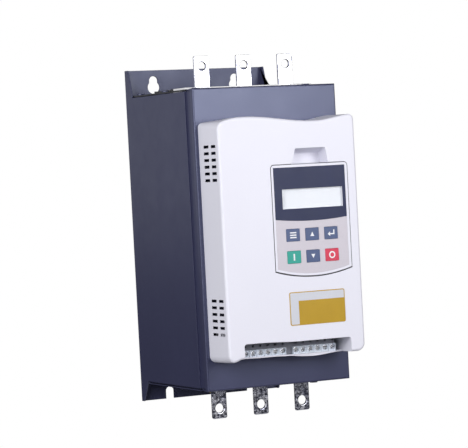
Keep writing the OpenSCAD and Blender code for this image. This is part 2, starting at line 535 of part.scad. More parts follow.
// key cap with a retaining flange behind the bezel and a stem over its switch
module key_cap(k) {
  x = key_at[k][0]; z = key_at[k][1];
  yext(rest_y - 0.3, rest_y + 3) rrect(x - key_w / 2, x + key_w / 2, z - key_h / 2, z + key_h / 2, 0.6);
  yext(rest_y + 2.7, rest_y + 3.7) rrect(x - key_w / 2 - 1.2, x + key_w / 2 + 1.2, z - key_h / 2 - 1.2, z + key_h / 2 + 1.2, 1.6);
  ycyl(x, z, rest_y + 3.5, -197.3, 2.4);
}
blue = [0.24, 0.33, 0.55];
module key_menu() color(blue) union() key_cap(0);
module key_up() color(blue) union() key_cap(1);
module key_enter() color(blue) union() key_cap(2);
module key_run() color([0.08, 0.60, 0.48]) union() key_cap(3);
module key_down() color(blue) union() key_cap(4);
module key_stop() color([0.82, 0.18, 0.26]) union() key_cap(5);

module scr_module_1() scr_module(phases[0]);
module scr_module_2() scr_module(phases[1]);
module scr_module_3() scr_module(phases[2]);
module input_busbar_1() input_busbar(phases[0]);
module input_busbar_2() input_busbar(phases[1]);
module input_busbar_3() input_busbar(phases[2]);
module output_busbar_1() output_busbar(phases[0]);
module output_busbar_2() output_busbar(phases[1]);
module output_busbar_3() output_busbar(phases[2]);
module fan_frame_left() fan_frame(-fan_x);
module fan_frame_right() fan_frame(fan_x);
module fan_rotor_left() fan_rotor(-fan_x);
module fan_rotor_right() fan_rotor(fan_x);
module terminal_block_left() terminal_block(-25.6);
module terminal_block_right() terminal_block(28.4);

chassis();
front_panel();
bottom_plate();
top_grille();
m4_screws();
heat_sink();
heat_sink_screws();
scr_module_1();
scr_module_2();
scr_module_3();
m6_screws();
input_busbar_1();
input_busbar_2();
input_busbar_3();
output_busbar_1();
output_busbar_2();
output_busbar_3();
upper_busbar_support();
lower_busbar_support();
current_transformers();
fan_frame_left();
fan_frame_right();
fan_rotor_left();
fan_rotor_right();
thermal_switch();
earth_screw();
firing_board();
board_standoffs();
board_screws();
pulse_transformers();
snubber_capacitors();
ribbon_cable();
control_board();
control_transformer();
relays();
terminal_block_left();
terminal_block_right();
terminal_screws();
terminal_headers();
keypad_socket();
cover();
blank_label();
keypad_bezel();
keypad_back();
display_overlay();
key_overlay();
display_lens();
lcd_module();
keypad_board();
tact_switches();
keypad_plug();
keypad_screws();
key_menu();
key_up();
key_enter();
key_run();
key_down();
key_stop();
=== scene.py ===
import json
import math

import bmesh
import bpy
from mathutils import Matrix, Vector

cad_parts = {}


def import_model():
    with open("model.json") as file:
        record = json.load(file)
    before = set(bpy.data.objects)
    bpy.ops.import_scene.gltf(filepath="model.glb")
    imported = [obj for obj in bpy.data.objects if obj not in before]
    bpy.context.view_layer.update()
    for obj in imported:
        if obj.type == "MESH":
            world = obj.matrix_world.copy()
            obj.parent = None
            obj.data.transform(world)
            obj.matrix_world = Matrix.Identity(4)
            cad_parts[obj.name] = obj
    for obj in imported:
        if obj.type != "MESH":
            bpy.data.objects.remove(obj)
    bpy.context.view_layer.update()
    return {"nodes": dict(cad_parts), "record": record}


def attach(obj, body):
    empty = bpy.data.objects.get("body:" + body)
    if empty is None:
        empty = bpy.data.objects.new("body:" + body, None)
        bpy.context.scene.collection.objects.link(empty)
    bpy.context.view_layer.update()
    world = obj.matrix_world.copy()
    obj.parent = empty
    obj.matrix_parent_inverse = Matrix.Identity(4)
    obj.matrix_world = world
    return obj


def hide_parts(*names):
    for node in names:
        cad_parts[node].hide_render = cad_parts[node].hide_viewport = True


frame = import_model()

NODES = frame["nodes"]
BODY_OF = {}
for body_name, members in frame["record"]["behaviour"]["bodies"].items():
    for member in members:
        BODY_OF[member] = body_name
SLOT_OF = {s["node"]: s["material_slot"] for s in frame["record"]["subparts"]}
MM = 0.001
scene = bpy.context.scene


# ---------------------------------------------------------------- camera
def make_camera():
    yaw, pitch, roll = (math.radians(a) for a in (26.10874, -1.26963, 3.03430))
    fwd = Vector((math.sin(yaw) * math.cos(pitch), math.cos(yaw) * math.cos(pitch), math.sin(pitch)))
    right = Vector((math.cos(yaw), -math.sin(yaw), 0.0))
    down = fwd.cross(right)
    r2 = right * math.cos(roll) + down * math.sin(roll)
    d2 = -right * math.sin(roll) + down * math.cos(roll)
    cam = bpy.data.cameras.new("camera")
    cam.sensor_fit = "HORIZONTAL"
    cam.sensor_width = 36.0
    cam.lens = 181.99
    cam.clip_start = 0.05
    cam.clip_end = 50.0
    ob = bpy.data.objects.new("camera", cam)
    scene.collection.objects.link(ob)
    m = Matrix.Identity(4)
    for i, col in enumerate((r2, -d2, -fwd)):
        for j in range(3):
            m[j][i] = col[j]
    m.translation = Vector((-1.03883, -2.19583, 0.06394))
    ob.matrix_world = m
    scene.camera = ob


make_camera()


# ---------------------------------------------------------------- materials
def new_material(name):
    m = bpy.data.materials.new(name)
    m.use_nodes = True
    nt = m.node_tree
    nt.nodes.clear()
    out = nt.nodes.new("ShaderNodeOutputMaterial")
    p = nt.nodes.new("ShaderNodeBsdfPrincipled")
    nt.links.new(p.outputs[0], out.inputs["Surface"])
    tc = nt.nodes.new("ShaderNodeTexCoord")
    return m, nt, p, tc.outputs["Object"]


def noise(nt, vec, scale, detail=3.0, rough=0.55, stretch=None):
    n = nt.nodes.new("ShaderNodeTexNoise")
    n.inputs["Scale"].default_value = scale
    n.inputs["Detail"].default_value = detail
    n.inputs["Roughness"].default_value = rough
    if stretch:
        mp = nt.nodes.new("ShaderNodeMapping")
        mp.inputs["Scale"].default_value = stretch
        nt.links.new(vec, mp.inputs["Vector"])
        vec = mp.outputs[0]
    nt.links.new(vec, n.inputs["Vector"])
    return n.outputs[0]


def math_node(nt, op, a, b):
    n = nt.nodes.new("ShaderNodeMath")
    n.operation = op
    for i, v in enumerate((a, b)):
        if isinstance(v, (int, float)):
            n.inputs[i].default_value = v
        else:
            nt.links.new(v, n.inputs[i])
    return n.outputs[0]


def ramp(nt, fac, stops):
    n = nt.nodes.new("ShaderNodeValToRGB")
    els = n.color_ramp.elements
    while len(els) < len(stops):
        els.new(0.5)
    for e, (pos, col) in zip(els, stops):
        e.position = pos
        e.color = (col[0], col[1], col[2], 1.0)
    nt.links.new(fac, n.inputs[0])
    return n.outputs[0]


def spread(nt, val, lo, hi, a=0.3, b=0.7):
    n = nt.nodes.new("ShaderNodeMapRange")
    n.inputs["From Min"].default_value = a
    n.inputs["From Max"].default_value = b
    n.inputs["To Min"].default_value = lo
    n.inputs["To Max"].default_value = hi
    nt.links.new(val, n.inputs["Value"])
    return n.outputs[0]


def bump(nt, p, height, strength, distance):
    n = nt.nodes.new("ShaderNodeBump")
    n.inputs["Strength"].default_value = strength
    n.inputs["Distance"].default_value = distance
    nt.links.new(height, n.inputs["Height"])
    nt.links.new(n.outputs[0], p.inputs["Normal"])


def tint(c, f):
    return [min(1.0, max(0.0, v * f)) for v in c]


def surf(name, base, rough, metallic=0.0, spec=0.5, var=0.03, vscale=12.0, fine=0.02, fscale=900.0,
         rvar=0.04, rscale=60.0, bstr=0.1, bscale=1600.0, bdist=0.0001, coat=0.0, coat_rough=0.1,
         stretch=None, bstretch=None, detail=3.0, spec_tint=None):
    """Procedural surface: slow colour drift, fine speckle, uneven gloss and a small moulded or sprayed texture."""
    m, nt, p, vec = new_material(name)
    slow = noise(nt, vec, vscale, detail, 0.55, stretch)
    quick = noise(nt, vec, fscale, 2.0, 0.6)
    k = fine / (fine + var)
    mix = math_node(nt, "ADD", math_node(nt, "MULTIPLY", slow, 1.0 - k), math_node(nt, "MULTIPLY", quick, k))
    f = var + fine
    col = ramp(nt, mix, [(0.32, tint(base, 1.0 - f)), (0.5, base), (0.68, tint(base, 1.0 + f))])
    nt.links.new(col, p.inputs["Base Color"])
    rn = noise(nt, vec, rscale, 3.0)
    nt.links.new(spread(nt, rn, max(0.03, rough - rvar), min(1.0, rough + rvar)), p.inputs["Roughness"])
    bn = noise(nt, vec, bscale, 2.0, 0.5, bstretch)
    bump(nt, p, bn, bstr, bdist)
    p.inputs["Metallic"].default_value = metallic
    p.inputs["Specular IOR Level"].default_value = spec
    if spec_tint:
        p.inputs["Specular Tint"].default_value = (*spec_tint, 1.0)
    p.inputs["Coat Weight"].default_value = coat
    p.inputs["Coat Roughness"].default_value = coat_rough
    return m


MAT = {}
MAT["dark_paint"] = surf("dark_paint", (0.031, 0.033, 0.078), 0.40, spec=0.88, spec_tint=(0.75, 0.80, 1.0), var=0.04, vscale=9, fine=0.03,
                         rvar=0.03, bstr=0.22, bscale=1100, bdist=0.00012)
MAT["panel_paint"] = surf("panel_paint", (0.036, 0.038, 0.084), 0.35, spec=1.0, spec_tint=(0.70, 0.76, 1.0), var=0.04, vscale=9, fine=0.03,
                          rvar=0.02, bstr=0.16, bscale=1100, bdist=0.0001)
MAT["zinc_steel"] = surf("zinc_steel", (0.66, 0.67, 0.69), 0.28, metallic=1.0, var=0.06, vscale=160, fine=0.05,
                         rvar=0.08, rscale=300, bstr=0.12, bscale=900, bdist=0.0001)
MAT["aluminium"] = surf("aluminium", (0.68, 0.69, 0.71), 0.36, metallic=1.0, var=0.05, vscale=30, fine=0.04,
                        rvar=0.06, bstr=0.25, bscale=900, bdist=0.0001, bstretch=(1.0, 1.0, 0.02))
MAT["module_plastic"] = surf("module_plastic", (0.62, 0.60, 0.55), 0.5, bstr=0.2)
MAT["white_insulator"] = surf("white_insulator", (0.80, 0.80, 0.80), 0.45, bstr=0.15)
MAT["ct_blue"] = surf("ct_blue", (0.035, 0.06, 0.17), 0.4, bstr=0.15)
MAT["black_plastic"] = surf("black_plastic", (0.020, 0.020, 0.023), 0.45, var=0.06, bstr=0.25)
MAT["yellow_brass"] = surf("yellow_brass", (0.70, 0.53, 0.22), 0.28, metallic=1.0, var=0.06, vscale=180, rvar=0.07,
                           bstr=0.12, bscale=900)
MAT["capacitor_red"] = surf("capacitor_red", (0.45, 0.07, 0.04), 0.3, bstr=0.1)
MAT["ribbon_grey"] = surf("ribbon_grey", (0.42, 0.43, 0.46), 0.5, bstr=0.5, bscale=800, bdist=0.0004,
                          bstretch=(1.0, 0.02, 0.02))
MAT["relay_blue"] = surf("relay_blue", (0.03, 0.13, 0.36), 0.28, bstr=0.08)
MAT["terminal_grey"] = surf("terminal_grey", (0.84, 0.90, 0.985), 0.42, var=0.012, vscale=60, bstr=0.2)
# header_grey: the terminal headers' own grey, darkened as painted shade for the notch roof's shadow over the blocks
MAT["header_grey"] = surf("header_grey", (0.24, 0.248, 0.29), 0.48, var=0.04, vscale=60, bstr=0.2)
MAT["terminal_screw"] = surf("terminal_screw", (0.90, 0.92, 0.96), 0.26, metallic=0.85, var=0.05, vscale=300, fine=0.03,
                             rvar=0.06, rscale=500, bstr=0.1, bscale=900)
MAT["dark_plastic"] = surf("dark_plastic", (0.045, 0.046, 0.055), 0.45, var=0.05, vscale=60, bstr=0.25)
MAT["white_abs"] = surf("white_abs", (0.81, 0.807, 0.885), 0.46, spec=0.45, var=0.010, vscale=10, fine=0.010,
                        fscale=1300, rvar=0.03, bstr=0.14, bscale=1500, bdist=0.00012)
MAT["label_film"] = surf("label_film", (0.48, 0.290, 0.006), 0.38, var=0.03, vscale=50, bstr=0.05)
MAT["label_white"] = surf("label_white", (0.63, 0.645, 0.70), 0.38, var=0.015, vscale=50, bstr=0.05)
MAT["navy_film"] = surf("navy_film", (0.018, 0.0245, 0.074), 0.40, spec=0.3, var=0.05, vscale=40, bstr=0.10,
                        bscale=1800, bdist=0.00006)
MAT["grey_film"] = surf("grey_film", (0.615, 0.578, 0.632), 0.40, spec=0.45, var=0.015, vscale=40, bstr=0.10,
                        bscale=1800, bdist=0.00006)
MAT["blue_key"] = surf("blue_key", (0.062, 0.096, 0.215), 0.36, var=0.04, vscale=90, bstr=0.10, bscale=1800,
                       bdist=0.00006)
MAT["green_key"] = surf("green_key", (0.012, 0.345, 0.275), 0.36, var=0.04, vscale=90, bstr=0.10, bscale=1800,
                        bdist=0.00006)
MAT["red_key"] = surf("red_key", (0.66, 0.030, 0.080), 0.36, var=0.04, vscale=90, bstr=0.10, bscale=1800,
                      bdist=0.00006)
MAT["legend_white"] = surf("legend_white", (0.86, 0.86, 0.88), 0.45, var=0.01, vscale=90, bstr=0.05)


def tinned_copper():
    """Tin plate: bright and blotchy, with shallow dips that break up the reflection; the dark blue-grey blotches are
    painted reflection of dark surroundings over the tin's own mottling.
    """
    m, nt, p, vec = new_material("tinned_copper")
    big = noise(nt, vec, 140, 2.5, 0.55)
    fine = noise(nt, vec, 360, 1.5, 0.5)
    mix = math_node(nt, "ADD", math_node(nt, "MULTIPLY", big, 0.6), math_node(nt, "MULTIPLY", fine, 0.4))
    # ramp from dark blue-grey to near white: the tin's own mottling, with the dark blue-grey end a painted reflection
    col = ramp(nt, mix, [(0.36, (0.27, 0.28, 0.37)), (0.50, (0.64, 0.65, 0.73)), (0.64, (0.95, 0.95, 0.97))])
    nt.links.new(col, p.inputs["Base Color"])
    nt.links.new(spread(nt, fine, 0.13, 0.32, 0.35, 0.65), p.inputs["Roughness"])
    bump(nt, p, mix, 0.55, 0.0006)
    p.inputs["Metallic"].default_value = 1.0
    return m


def circuit_board():
    """Solder mask over tracks: narrow lighter lines on a dark green ground."""
    m, nt, p, vec = new_material("circuit_board")
    v = nt.nodes.new("ShaderNodeTexVoronoi")
    v.feature = "DISTANCE_TO_EDGE"
    v.inputs["Scale"].default_value = 130
    nt.links.new(vec, v.inputs["Vector"])
    col = ramp(nt, v.outputs["Distance"], [(0.02, (0.10, 0.34, 0.16)), (0.05, (0.02, 0.13, 0.06)),
                                           (0.5, (0.018, 0.11, 0.055))])
    nt.links.new(col, p.inputs["Base Color"])
    rn = noise(nt, vec, 200, 3.0)
    nt.links.new(spread(nt, rn, 0.25, 0.4), p.inputs["Roughness"])
    bump(nt, p, v.outputs["Distance"], 0.15, 0.0001)
    return m


def clear_window():
    m, nt, p, vec = new_material("clear_window")
    n = noise(nt, vec, 40, 3.0)
    col = ramp(nt, n, [(0.3, (0.93, 0.95, 0.97)), (0.7, (0.97, 0.98, 0.99))])
    nt.links.new(col, p.inputs["Base Color"])
    nt.links.new(spread(nt, n, 0.06, 0.12), p.inputs["Roughness"])
    p.inputs["Alpha"].default_value = 0.16
    return m


def display_white():
    """Blank lit display behind the window."""
    m, nt, p, vec = new_material("display_white")
    n = noise(nt, vec, 25, 2.0)
    col = ramp(nt, n, [(0.3, (0.82, 0.85, 0.90)), (0.7, (0.86, 0.88, 0.92))])
    nt.links.new(col, p.inputs["Base Color"])
    rn = noise(nt, vec, 300, 2.0)
    nt.links.new(spread(nt, rn, 0.4, 0.5), p.inputs["Roughness"])
    p.inputs["Emission Color"].default_value = (0.90, 0.95, 1.0, 1.0)
    p.inputs["Emission Strength"].default_value = 0.05
    return m


MAT["tinned_copper"] = tinned_copper()
MAT["circuit_board"] = circuit_board()
MAT["clear_window"] = clear_window()
MAT["display_white"] = display_white()


# ---------------------------------------------------------------- mesh helpers
def finish_piece(bm, name, mat, body, replaces=(), sharp=35.0, weighted=True):
    """Turns a bmesh in row coordinates into a piece that rides on a body."""
    me = bpy.data.meshes.new(name)
    bm.to_mesh(me)
    bm.free()
    ob = bpy.data.objects.new(name, me)
    scene.collection.objects.link(ob)
    return dress(ob, mat, body, replaces, sharp, weighted)


def dress(ob, mat, body, replaces=(), sharp=35.0, weighted=True):
    me = ob.data
    me.materials.clear()
    me.materials.append(mat)
    me.shade_smooth()
    me.set_sharp_from_angle(angle=math.radians(sharp))
    if weighted:
        w = ob.modifiers.new("normals", "WEIGHTED_NORMAL")
        w.keep_sharp = True
        w.weight = 80
    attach(ob, body)
    if replaces:
        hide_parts(*replaces)
    return ob


def clean(bm, dist=2e-6):
    bmesh.ops.remove_doubles(bm, verts=bm.verts[:], dist=dist)
    bmesh.ops.dissolve_limit(bm, angle_limit=math.radians(0.4), use_dissolve_boundaries=False,
                             verts=bm.verts[:], edges=bm.edges[:])
    bmesh.ops.recalc_face_normals(bm, faces=bm.faces[:])


def sharp_edges(bm, angle, test=None):
    out = []
    for e in bm.edges:
        if len(e.link_faces) != 2 or e.calc_face_angle(0.0) < math.radians(angle):
            continue
        if test is None or test(e):
            out.append(e)
    return out


def bevel(bm, edges, width, segments):
    if edges:
        bmesh.ops.bevel(bm, geom=edges, offset=width, offset_type="OFFSET", segments=segments, profile=0.5,
                        affect="EDGES", clamp_overlap=False, loop_slide=False)


def soften(node, width, segments=2, angle=40.0, first=(), mat=None, only=None):
    """A copy of a CAD node whose edges are broken; first holds (test, width, segments) for bends done before."""
    bm = bmesh.new()
    bm.from_mesh(NODES[node].data)
    lo = [min(v.co[i] for v in bm.verts) for i in range(3)]
    hi = [max(v.co[i] for v in bm.verts) for i in range(3)]
    clean(bm)
    for test, w, s in first:
        bevel(bm, sharp_edges(bm, angle, test), w, s)
    if width:
        bevel(bm, sharp_edges(bm, angle, only), width, segments)
    for v in bm.verts:
        for i in range(3):
            v.co[i] = min(hi[i], max(lo[i], v.co[i]))
    return finish_piece(bm, node + "_finished", mat or MAT[SLOT_OF[node]], BODY_OF[node], [node])


def near(v, x, tol=0.00004):
    return abs(v - x) < tol


def both(e, f):
    return f(e.verts[0].co) and f(e.verts[1].co)


def add_prism(bm, pts, y0, y1):
    """Closed prism: outline pts (x, z) in mm, between y0 and y1 in mm."""
    a = [bm.verts.new((x * MM, y0 * MM, z * MM)) for x, z in pts]
    b = [bm.verts.new((x * MM, y1 * MM, z * MM)) for x, z in pts]
    n = len(pts)
    bm.faces.new(a)
    bm.faces.new(list(reversed(b)))
    for i in range(n):
        j = (i + 1) % n
        bm.faces.new((a[j], a[i], b[i], b[j]))


def prism_object(name, outlines, y0, y1):
    bm = bmesh.new()
    for pts in outlines:
        add_prism(bm, pts, y0, y1)
    bmesh.ops.recalc_face_normals(bm, faces=bm.faces[:])
    return raw_object(name, bm)


def raw_object(name, bm):
    me = bpy.data.meshes.new(name)
    bm.to_mesh(me)
    bm.free()
    ob = bpy.data.objects.new(name, me)
    scene.collection.objects.link(ob)
    return ob


def add_box(bm, x0, x1, y0, y1, z0, z1):
    add_prism(bm, [(x0, z0), (x1, z0), (x1, z1), (x0, z1)], y0, y1)


def boolean(a, b, op):
    m = a.modifiers.new("cut", "BOOLEAN")
    m.operation = op
    m.object = b
    m.solver = "EXACT"
    dg = bpy.context.evaluated_depsgraph_get()
    dg.update()
    me = bpy.data.meshes.new_from_object(a.evaluated_get(dg))
    a.modifiers.remove(m)
    old = a.data
    a.data = me
    bpy.data.meshes.remove(old)
    mb = b.data
    bpy.data.objects.remove(b)
    bpy.data.meshes.remove(mb)
    return a


def rounded(x0, x1, z0, z1, r, n=6):
    pts = []
    for cx, cz, a0 in ((x1 - r, z0 + r, -90), (x1 - r, z1 - r, 0), (x0 + r, z1 - r, 90), (x0 + r, z0 + r, 180)):
        for k in range(n + 1):
            a = math.radians(a0 + 90.0 * k / n)
            pts.append((cx + r * math.cos(a), cz + r * math.sin(a)))
    return pts


def disc(cx, cz, r, n=24):
    return [(cx + r * math.cos(2 * math.pi * k / n), cz + r * math.sin(2 * math.pi * k / n)) for k in range(n)]


# ---------------------------------------------------------------- moulded cover
Y_FRONT, Y_BACK = -201.0, -159.05
KX, KZ0, KZ1, KW, ARC = 21.6, -39.0, 67.5, 81.8, 140.0
NOTCH_L, NOTCH_R = -56.7, 57.9


def cover_top(x):
    if x < -44:
        return 115.15 - 0.0026 * (x + 44) ** 2 + 0.00009 * (x + 44) ** 3
    if x < 31:
        return 112.05 + 3.1 * math.cos(math.pi * (x + 44) / 75)
    return 108.95 + 2.5 * (1 - math.cos(math.pi * (x - 31) / 42))


def hump(t):
    return (1 + math.cos(math.pi * t)) / 2 if abs(t) < 1 else 0.0


def ease(t):
    t = min(1.0, max(0.0, t))
    return t * t * (3 - 2 * t)


def top_front(x):
    return cover_top(x) - 0.2 - (0.8 * ((x + 44) / 23) ** 2 if x < -44 else 0.0)


def spline(pts, x):
    """Smooth curve through (x, z) points."""
    n = len(pts)
    i = max(0, min(n - 2, sum(1 for q in pts if q[0] <= x) - 1))

    def slope(k):
        a, b = pts[max(0, k - 1)], pts[min(n - 1, k + 1)]
        return (b[1] - a[1]) / (b[0] - a[0])

    (x0, z0), (x1, z1) = pts[i], pts[i + 1]
    d = x1 - x0
    t = min(1.0, max(0.0, (x - x0) / d))
    h = t * t * (3 - 2 * t)
    return z0 + (z1 - z0) * h + d * (slope(i) * (t ** 3 - 2 * t * t + t) + slope(i + 1) * (t ** 3 - t * t))


REAR_TOP = ((-77.0, 110.2), (-73.5, 110.9), (-70.0, 111.6), (-66.0, 112.2), (-58.7, 112.85), (-51.0, 113.7), (-43.0, 114.9),
            (-35.5, 115.3), (-28.0, 114.73), (-20.0, 113.96))


def top_rear(x):
    return spline(REAR_TOP, x) if x < -28 else cover_top(x) + 0.25


def top_mid(x):
    return 0.44 * top_rear(x) + 0.56 * top_front(x)


def low_rear(x):
    return -115.4 - 2.05 * hump((x - 27) / 30) - 1.7 * hump((x + 68) / 11)


def low_mid(x):
    return (-115.3 + 0.4 * ease((-4 - x) / 12) + 0.3 * ease((-30 - x) / 16) - 0.25 * hump((x - 11) / 13)
            - 2.05 * hump((x - 27) / 30) - 2.0 * hump((x + 68) / 11))


def low_front(x):
    return -113.2 - 2.7 * hump((x + 68) / 11) - 1.9 * ease((x - 10) / 40)


def notch_top(x):
    """Upper edge of the terminal notch: lower on the right."""
    return -100.1 + 0.7 * math.cos(math.pi * min(1.0, max(0.0, (x + 42) / 45)))


def cover_outline(w, top, low, r, q, p=None, n=72, m=8):
    """Outline of half-width w between two edge curves; corner radius r, at the lower right q, at the upper left p."""
    p = r if p is None else p
    e, f, g = w - r, w - q, w - p
    arc = [math.radians(90.0 * k / m) for k in range(m + 1)]
    pts = []
    for a in arc:
        x = e + r * math.cos(a)
        pts.append((x, top(x) - r * (1 - math.sin(a))))
    for i in range(1, n):
        x = e - (e + g) * i / n
        pts.append((x, top(x)))
    for a in arc:
        x = -g - p * math.sin(a)
        pts.append((x, top(x) - p * (1 - math.cos(a))))
    for a in arc:
        x = -e - r * math.cos(a)
        pts.append((x, low(x) + r * (1 - math.sin(a))))
    for i in range(1, n):
        x = -e + (f + e) * i / n
        pts.append((x, low(x)))
    for a in arc:
        x = f + q * math.sin(a)
        pts.append((x, low(x) + q * (1 - math.cos(a))))
    return pts


def shifted(f, d):
    return lambda x: f(x) + d


def loft(rings):
    """Closed solid through rings of (points, y) in mm."""
    bm = bmesh.new()
    loops = [[bm.verts.new((x * MM, y * MM, z * MM)) for x, z in pts] for pts, y in rings]
    n = len(loops[0])
    for a, b in zip(loops, loops[1:]):
        for i in range(n):
            j = (i + 1) % n
            bm.faces.new((a[i], a[j], b[j], b[i]))
    bm.faces.new(list(reversed(loops[0])))
    bm.faces.new(loops[-1])
    bmesh.ops.recalc_face_normals(bm, faces=bm.faces[:])
    return bm


def keypad_outline(g, low=0.0, r_top=3.0, n=40, m=6):
    """Keypad outline grown by g, at its arched lower edge by low more; round upper corners."""
    x0, x1, z1 = KX - KW / 2 - g, KX + KW / 2 + g, KZ1 + g
    rr = r_top + g
    big = ARC + g + low
    cz = KZ0 + ARC
    pts = []
    for i in range(n + 1):
        x = x0 + (x1 - x0) * i / n
        pts.append((x, cz - math.sqrt(big * big - (x - KX) ** 2)))
    for cx, a0 in ((x1 - rr, 0), (x0 + rr, 90)):
        for k in range(m + 1):
            a = math.radians(a0 + 90.0 * k / m)
            pts.append((cx + rr * math.cos(a), z1 - rr + rr * math.sin(a)))
    return pts


def recess_body(g, name):
    """Finger recess: tapered sides, sloping roof; grown by g."""
    zb = 67.4
    left = lambda z: 3.4 - g + (z - 67.6) * 4.2 / 15.2
    right = lambda z: 42.7 + g - (z - 67.6) * 2.8 / 15.2
    bm = bmesh.new()
    for y, z in ((-204.0, 82.8 + g), (-200.8, 82.8 + g), (-184.0 + g, 78.6 + g), (-204.0, zb), (-184.0 + g, zb)):
        for x in (left(z), right(z)):
            bm.verts.new((x * MM, y * MM, z * MM))
    bmesh.ops.convex_hull(bm, input=bm.verts[:])
    bmesh.ops.dissolve_limit(bm, angle_limit=math.radians(1), use_dissolve_boundaries=False,
                             verts=bm.verts[:], edges=bm.edges[:])
    bmesh.ops.recalc_face_normals(bm, faces=bm.faces[:])
    back = sharp_edges(bm, 10, lambda e: min(v.co.y for v in e.verts) > -0.2009 and max(v.co.y for v in e.verts) > -0.19)
    bevel(bm, [e for e in back if max(v.co.z for v in e.verts) > 0.0685], 1.2 * MM, 4)
    return raw_object(name, bm)


def add_vent(bm, s, y, h, z):
    """Side vent slot of half-length h: flared towards the inside at its rear end."""
    pts = [(-76.5, y - h), (-76.5, y + h), (-73.4, y + h), (-71.0, y + h + 3.9), (-69.0, y + h + 3.9), (-69.0, y - h)]
    lo = [bm.verts.new((-s * px * MM, py * MM, (z - 1.4) * MM)) for px, py in pts]
    hi = [bm.verts.new((-s * px * MM, py * MM, (z + 1.4) * MM)) for px, py in pts]
    bm.faces.new(lo)
    bm.faces.new(list(reversed(hi)))
    for i in range(len(pts)):
        j = (i + 1) % len(pts)
        bm.faces.new((lo[j], lo[i], hi[i], hi[j]))


BOSSES = ((-62, 98), (62, 98), (-62, -92), (62, -92))


